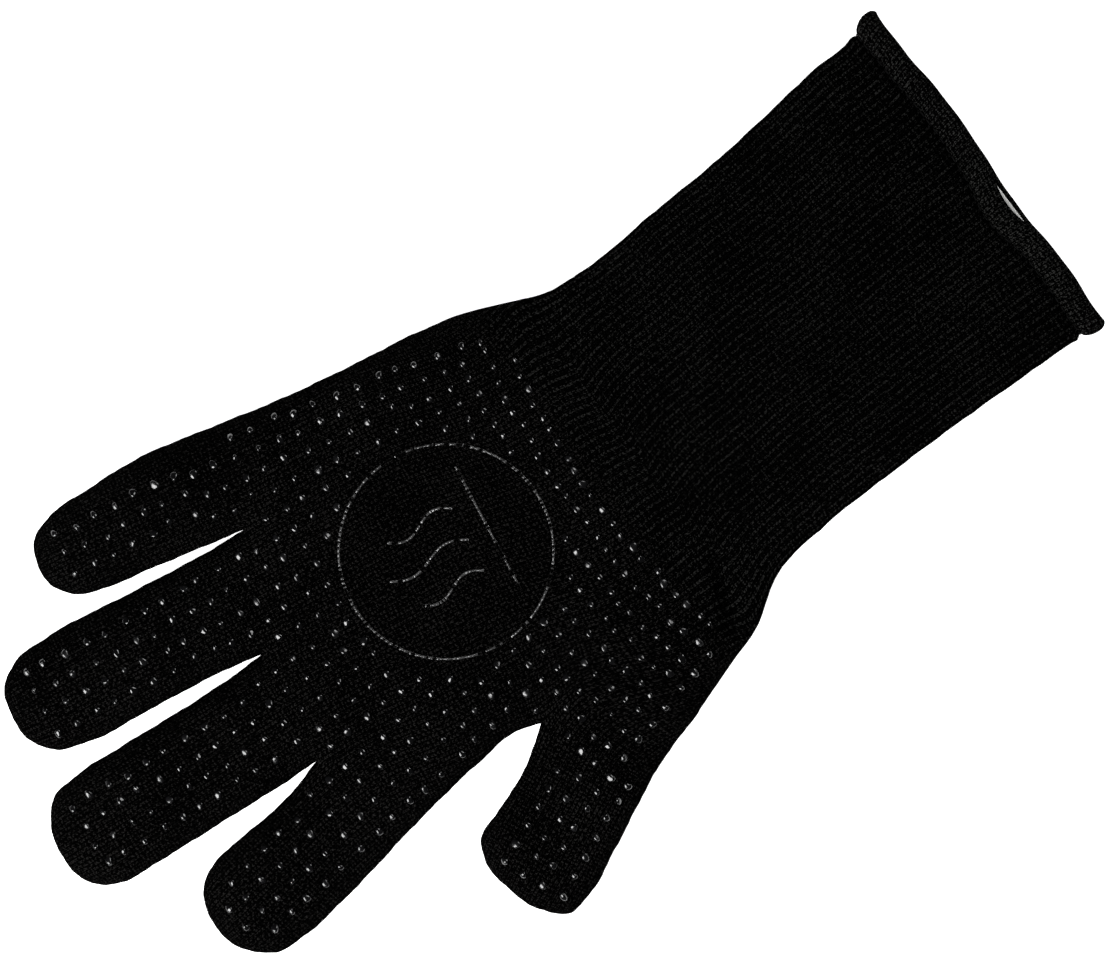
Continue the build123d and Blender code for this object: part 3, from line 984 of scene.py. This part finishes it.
def printed_line(path, closed, draw):
    """Points and faces of a raised printed line on the fabric, broken into beads by the stitches."""
    if closed:
        path = path[:-1]
        ahead = np.roll(path, -1, axis=0) - np.roll(path, 1, axis=0)
    else:
        ahead = np.gradient(path, axis=0)
    ahead = unit(ahead)
    sideways = left_of(ahead)
    count = len(path)
    coarse = draw.uniform(-0.45, 1.3, count // 3 + 2)
    patches = np.interp(np.arange(count) / 8, np.arange(len(coarse)), coarse)
    stitch = knit_place(path, *to_side(path))
    bead = np.abs(np.cos(pi * stitch[:, 0])) * (0.6 + 0.4 * np.abs(np.sin(pi * stitch[:, 1])))
    width = EMBLEM_LINE * (0.55 + 0.65 * bead)[:, None] * draw.uniform(0.85, 1.1, (count, 1))
    lift = EMBLEM_HEIGHT * (np.clip(patches + draw.uniform(-0.2, 0.2, count), -0.2, 1.0) - 0.9 + 1.2 * bead)
    rows = []
    for share, height in EMBLEM_SECTION:
        xy = path + sideways * share * width
        top = fabric(xy)[0]
        rows.append(np.column_stack([xy, top + height * lift]))
    faces = grid_faces(len(rows), count, closed, flipped=True)
    if not closed:
        faces.append([row * count for row in range(len(rows))])
        faces.append([row * count + count - 1 for row in range(len(rows))][::-1])
    return np.vstack(rows), faces


def emblem():
    """A ring with three rising waves of heat over a grate bar."""
    draw = np.random.default_rng(80)
    angles = np.linspace(0.0, 2 * pi, 801)
    ring = EMBLEM_CENTRE + EMBLEM_RADIUS * np.column_stack([np.cos(angles), np.sin(angles)])
    strips = [(ring, True)]
    for offset, head in HEAT_WAVES:
        y = np.linspace(WAVE_FOOT, head, 120)
        x = offset + WAVE_SWING * np.sin((y - WAVE_FOOT) / (head - WAVE_FOOT) * 2 * pi)
        strips.append((EMBLEM_CENTRE + np.column_stack([x, y]), False))
    bar = np.column_stack([np.linspace(-BAR_HALF, BAR_HALF, 170), np.full(170, BAR_PLACE)])
    strips.append((EMBLEM_CENTRE + bar, False))
    points = []
    faces = []
    for path, closed in strips:
        more, added = printed_line(path, closed, draw)
        base = sum(len(p) for p in points)
        points.append(more)
        faces += [[base + i for i in face] for face in added]
    return make_mesh("palm_print", np.vstack(points), faces)


# ---- materials


class Shader:
    """A node material under construction."""

    def __init__(self, name, base, roughness, specular):
        self.material = bpy.data.materials.new(name)
        self.material.use_nodes = True
        self.nodes = self.material.node_tree.nodes
        self.links = self.material.node_tree.links
        self.surface = self.nodes["Principled BSDF"]
        self.surface.inputs["Base Color"].default_value = (*base, 1.0)
        self.surface.inputs["Roughness"].default_value = roughness
        self.surface.inputs["Specular IOR Level"].default_value = specular

    def add(self, kind, output, inputs):
        """A new node with its inputs linked or set by name, and the socket of its result."""
        node = self.nodes.new("ShaderNode" + kind)
        for name, value in inputs.items():
            if isinstance(value, bpy.types.NodeSocket):
                self.links.new(value, node.inputs[name])
            else:
                node.inputs[name].default_value = value
        return node.outputs[output]

    def math(self, operation, *values):
        """A calculation with up to three values."""
        result = self.add("Math", "Value", dict(enumerate(values)))
        result.node.operation = operation
        return result

    def times(self, first, second):
        """The product of two values."""
        return self.math("MULTIPLY", first, second)

    def knit(self):
        """Stitch numbers across and along, and both as a vector."""
        place = self.add("Attribute", "Vector", {})
        place.node.attribute_name = "knit"
        split = self.add("SeparateXYZ", "X", {0: place}).node
        return split.outputs["X"], split.outputs["Y"], place

    def object_place(self):
        """The mesh's own coordinates, in metres."""
        return self.add("TexCoord", "Object", {})

    def noise(self, vector, scale, detail=2.0, roughness=0.5):
        """Soft noise between 0 and 1."""
        inputs = {"Vector": vector, "Scale": scale, "Detail": detail, "Roughness": roughness}
        return self.add("TexNoise", "Fac", inputs)

    def ramp(self, value, stops):
        """The colour at a value, from stops of position and colour."""
        colour = self.add("ValToRGB", "Color", {"Fac": value})
        elements = colour.node.color_ramp.elements
        while len(elements) < len(stops):
            elements.new(0.5)
        for element, (position, shade) in zip(elements, stops):
            element.position = position
            element.color = (*shade, 1.0)
        return colour

    def map_range(self, value, low, high):
        """The value, stretched from 0 to 1 onto low to high."""
        return self.add("MapRange", "Result", {"Value": value, "To Min": low, "To Max": high})

    def bump(self, height, distance, strength, below=None):
        """A bumped normal, on top of the one below."""
        inputs = {"Distance": distance, "Strength": strength, "Height": height}
        if below is not None:
            inputs["Normal"] = below
        return self.add("Bump", "Normal", inputs)

    def finish(self, colour=None, roughness=None, normal=None):
        """The material, with those sockets of its surface linked."""
        for socket, value in (("Base Color", colour), ("Roughness", roughness), ("Normal", normal)):
            if value is not None:
                self.links.new(value, self.surface.inputs[socket])
        return self.material


def stitch_relief(shader, across, along):
    """Height of a plain knit: columns of V shaped stitches."""
    wale = shader.math("FRACT", shader.math("ADD", across, 0.5))
    wale = shader.math("ABSOLUTE", shader.math("MULTIPLY_ADD", wale, 2.0, -1.0))
    phase = shader.math("FRACT", shader.math("MULTIPLY_ADD", wale, 0.55, along))
    leg = shader.math("SINE", shader.times(phase, pi))
    round_off = shader.math("SUBTRACT", 1.0, shader.math("POWER", wale, 3.0))
    parting = shader.math("MULTIPLY_ADD", shader.math("MINIMUM", wale, 0.3), 1.4, 0.58)
    body = shader.math("MULTIPLY_ADD", leg, 0.65, 0.35)
    return shader.times(shader.times(body, round_off), parting)


KNIT_DARK = (0.0003,) * 3
KNIT_RELIEF = 0.8


def knit_material(name, light, ribbed=False):
    """Matt aramid yarn, knitted: stitches with painted shade in their hollows, loose fibres whose brightest
    flecks are painted highlights, and slightly uneven dye; ribbed, it has painted shade in the valleys
    between its ribs.
    """
    shader = Shader(name, light, 0.8, 0.0)
    across, along, place = shader.knit()
    relief = stitch_relief(shader, across, along)
    fibres = shader.noise(place, 1.3, 4.0, 0.75)
    cloud = shader.noise(place, 0.045, 3.0, 0.6)
    # The colour follows the stitches' relief and is darker in their hollows: painted shade. The fibre noise
    # adds flecks of real tone.
    shade = shader.times(relief, shader.map_range(fibres, -5.6, 7.5))
    shade = shader.times(shade, shader.map_range(cloud, 0.45, 1.5))
    if ribbed:
        # Darker in the valleys between the ribs: painted shade.
        rib_shading = shader.math("SINE", shader.times(across, pi / 2))
        rib_shading = shader.math("ABSOLUTE", rib_shading)
        shade = shader.times(shade, shader.math("MULTIPLY_ADD", rib_shading, 0.8, 0.38))
    # The brightest flecks of the fibres are painted highlights.
    fleck_highlight = [c * 11.0 for c in light]
    half = [c * 0.5 for c in light]
    colour = shader.ramp(shade, [(0.0, KNIT_DARK), (0.45, half), (0.8, light), (1.0, fleck_highlight)])
    rough = shader.map_range(fibres, 0.6, 0.98)
    normal = shader.bump(relief, KNIT_RELIEF * MM, 1.0)
    normal = shader.bump(fibres, 0.3 * MM, 0.8, normal)
    return shader.finish(colour, rough, normal)


def cotton_material():
    """Soft charcoal cotton jersey, darker in the hollows of its stitches: painted shade."""
    shader = Shader("cotton_jersey", (0.006, 0.006, 0.006), 0.9, 0.05)
    across, along, place = shader.knit()
    relief = stitch_relief(shader, across, along)
    fibres = shader.noise(place, 6.0, 3.0, 0.6)
    # The colour follows the stitches' relief and is darker in their hollows: painted shade.
    shade = shader.times(relief, shader.map_range(fibres, 0.7, 1.2))
    colour = shader.ramp(shade, [(0.0, (0.0025,) * 3), (1.0, (0.015, 0.015, 0.0147))])
    normal = shader.bump(relief, 0.3 * MM, 0.9)
    return shader.finish(colour, shader.map_range(fibres, 0.8, 1.0), normal)


def silicone_material(name, base, low, high):
    """Cured silicone: glossy, with lumps, dust and rub marks."""
    shader = Shader(name, base, high, 0.5)
    place = shader.object_place()
    patches = shader.noise(place, 170.0, 3.0, 0.6)
    grain = shader.noise(place, 900.0, 2.0, 0.5)
    colour = shader.ramp(patches, [(0.3, [c * 0.6 for c in base]), (0.75, [c * 1.5 for c in base])])
    rough = shader.map_range(patches, low, high)
    normal = shader.bump(grain, 0.16 * MM, 0.6)
    return shader.finish(colour, rough, normal)


def thread_material():
    """Twisted sewing thread."""
    shader = Shader("sewing_thread", (0.001, 0.001, 0.001), 0.7, 0.05)
    place = shader.object_place()
    twist = shader.add("TexWave", "Fac", {"Vector": place, "Scale": 900.0})
    twist.node.wave_type = "BANDS"
    twist.node.bands_direction = "DIAGONAL"
    colour = shader.ramp(twist, [(0.0, KNIT_DARK), (1.0, (0.002,) * 3)])
    return shader.finish(colour, None, shader.bump(twist, 0.08 * MM, 0.8))


def label_material():
    """A blank white satin label with a fine weave and a little wear."""
    shader = Shader("label_satin", (0.8, 0.8, 0.78), 0.45, 0.4)
    across, along, place = shader.knit()
    warp, weft = [shader.math("SINE", shader.times(way, 5 * pi)) for way in (across, along)]
    weave = shader.math("MULTIPLY_ADD", shader.times(warp, weft), 0.5, 0.5)
    wear = shader.noise(place, 0.35, 3.0, 0.6)
    shade = shader.times(shader.map_range(weave, 0.8, 1.0), shader.map_range(wear, 0.85, 1.1))
    colour = shader.ramp(shade, [(0.5, (0.55, 0.55, 0.53)), (1.0, (0.84, 0.84, 0.82))])
    return shader.finish(colour, shader.map_range(wear, 0.35, 0.6), shader.bump(weave, 0.05 * MM, 0.6))


def paint(objects, material):
    """Gives the objects one material."""
    for obj in objects:
        obj.data.materials.clear()
        obj.data.materials.append(material)


# ---- the glove

foot_line = section_at(CUFF_TOP)[0][3:COLUMNS:3, 0]  # every third of the cuff's points across the top
SKIN_RINGS = (0.07, 0.28, 0.65, 1.2, 1.9, 2.8, 3.9)  # distances from the side, where the roll is steep
skin_plan = hand_plan(inset=0.0, spacing=1.0, rings=SKIN_RINGS, pitch=1.7, foot=foot_line)
skin = hand_pieces("skin", 0.0, skin_plan)
bend_and_stand_in(skin, "knit")

lining_foot = foot_line[2:-2:4]
lining_plan = hand_plan(inset=KNIT_WALL, spacing=3.0, rings=(0.6, 2.0), pitch=4.5, foot=lining_foot)
lining = hand_pieces("cotton", KNIT_WALL, lining_plan)
bend_and_stand_in(lining, "lining")

DIGITS = ["thumb"] + [finger[0] for finger in FINGERS]
SEGMENTS = ["palm"] + [f"{digit}_{part}" for digit in DIGITS for part in ("base", "tip")]
dots = {}
centres, owners = front_dots()
for seed, segment in enumerate(SEGMENTS, 40):
    dots[segment] = dot_cloud(f"grip_dots_{segment}", centres[owners == segment], True, seed)
bend_and_stand_in(dots, "dots")

back_dots = dot_cloud("grip_dots_back", dot_centres("back_dots"), False, 60)
rest_dots = dot_cloud("grip_dots_back_rest", dot_centres("back_rest_dots"), False, 61)
print_lines = emblem()

ribs = cuff_skin()
cotton_tube = cuff_lining()
for obj, node, slot in (
    (ribs, "cuff_knit", "ribbed_knit"),
    (cotton_tube, "cuff_lining", "cotton_lining"),
):
    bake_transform(obj)
    stand_in(node)

band = hem_band()
thread = hem_stitches()
label = care_label()
for obj, body, node, slot in (
    (back_dots, "palm", "back_dots", "silicone"),
    (rest_dots, "palm", "back_rest_dots", "silicone"),
    (print_lines, "palm", "palm_emblem", "silicone_print"),
    (band, "cuff", "hem_band", "hem_knit"),
    (thread, "cuff", "hem_stitching", "thread"),
    (label, "cuff", "care_label", "label"),
):
    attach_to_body(obj, body)
    stand_in(node)

hand_knit = knit_material("aramid_jersey", (0.00092, 0.00088, 0.00085))
rib_knit = knit_material("aramid_rib", (0.0012, 0.0012, 0.00115), ribbed=True)
hem_knit = knit_material("hem_rib", (0.0022, 0.0022, 0.0021))
cotton = cotton_material()
silicone = silicone_material("silicone_gloss", (0.0018, 0.0018, 0.002), low=-0.22, high=0.56)
print_ink = silicone_material("silicone_print_gloss", (0.025, 0.025, 0.025), low=-0.1, high=0.6)
paint(skin.values(), hand_knit)
paint([ribs], rib_knit)
paint([band], hem_knit)
paint([*lining.values(), cotton_tube], cotton)
paint([*dots.values(), back_dots, rest_dots], silicone)
paint([print_lines], print_ink)
paint([thread], thread_material())
paint([label], label_material())


# ---- studio

FLOOR_RADIUS = 5.0
FLOOR_GLOW = 0.9
BACKDROP_GLOW = 0.95
WORLD_GLOW = 0.03
CAMERA_DISTANCE = 2.0
SENSOR = 36.0
VIEW_WIDTH = 0.3456  # of the glove's plane, in metres
VIEW_CENTRE = (0.0188, -0.0079)
IMAGE_RIGHT = Vector((-0.4711, -0.8821, 0.0)).normalized()
IMAGE_UP = Vector((0.8821, -0.4711, 0.0)).normalized()


def plain_white(name, glow):
    """A pale matt finish that also glows a little, so that shadows stay faint."""
    shader = Shader(name, (0.85, 0.85, 0.85), 0.9, 0.0)
    shader.surface.inputs["Emission Color"].default_value = (1.0, 1.0, 1.0, 1.0)
    shader.surface.inputs["Emission Strength"].default_value = glow
    return shader.material


def floor_and_backdrop():
    """A floor, and a dome round the scene that lights nothing and isn't reflected."""
    bpy.ops.mesh.primitive_circle_add(vertices=96, radius=FLOOR_RADIUS, fill_type="NGON")
    floor = bpy.context.object
    floor.name = "floor"
    paint([floor], plain_white("floor_white", FLOOR_GLOW))
    bpy.ops.mesh.primitive_uv_sphere_add(segments=64, ring_count=32, radius=FLOOR_RADIUS)
    dome = bpy.context.object
    dome.name = "backdrop"
    paint([dome], plain_white("backdrop_white", BACKDROP_GLOW))
    dome.visible_diffuse = False
    dome.visible_glossy = False
    dome.visible_shadow = False


def area_light(name, direction, distance, size, power):
    """A soft square light that looks at the glove from a direction."""
    data = bpy.data.lights.new(name, "AREA")
    data.size = size
    data.energy = power
    light = add_object(name, data)
    way = Vector(direction).normalized()
    light.location = Vector((*VIEW_CENTRE, 0.0)) + way * distance
    light.rotation_euler = way.to_track_quat("Z", "Y").to_euler()


def camera():
    """A long lens straight above the glove, turned as in the photograph."""
    data = bpy.data.cameras.new("camera")
    data.sensor_width = SENSOR
    data.lens = SENSOR * CAMERA_DISTANCE / VIEW_WIDTH
    data.clip_start = 0.05
    data.clip_end = 50.0
    obj = add_object("camera", data)
    axes = Matrix((IMAGE_RIGHT, IMAGE_UP, IMAGE_RIGHT.cross(IMAGE_UP))).transposed()
    obj.matrix_world = Matrix.Translation((*VIEW_CENTRE, CAMERA_DISTANCE + HINGE_HEIGHT * MM)) @ axes.to_4x4()
    bpy.context.scene.camera = obj


def world():
    """An even white light from all round."""
    scene_world = bpy.data.worlds.new("studio")
    scene_world.use_nodes = True
    background = scene_world.node_tree.nodes["Background"]
    background.inputs["Color"].default_value = (1.0, 1.0, 1.0, 1.0)
    background.inputs["Strength"].default_value = WORLD_GLOW
    bpy.context.scene.world = scene_world


floor_and_backdrop()
world()
left_down = (-IMAGE_RIGHT - IMAGE_UP).normalized()
key_way = left_down + Vector((0.0, 0.0, 1.0))
fill_way = Vector((0.0, 0.0, 0.9)) - left_down
area_light("key", key_way, distance=1.1, size=0.7, power=28.0)
area_light("fill", fill_way, distance=1.3, size=0.6, power=8.5)
camera()
bpy.context.scene.view_settings.view_transform = "Standard"

bpy.context.view_layer.update()
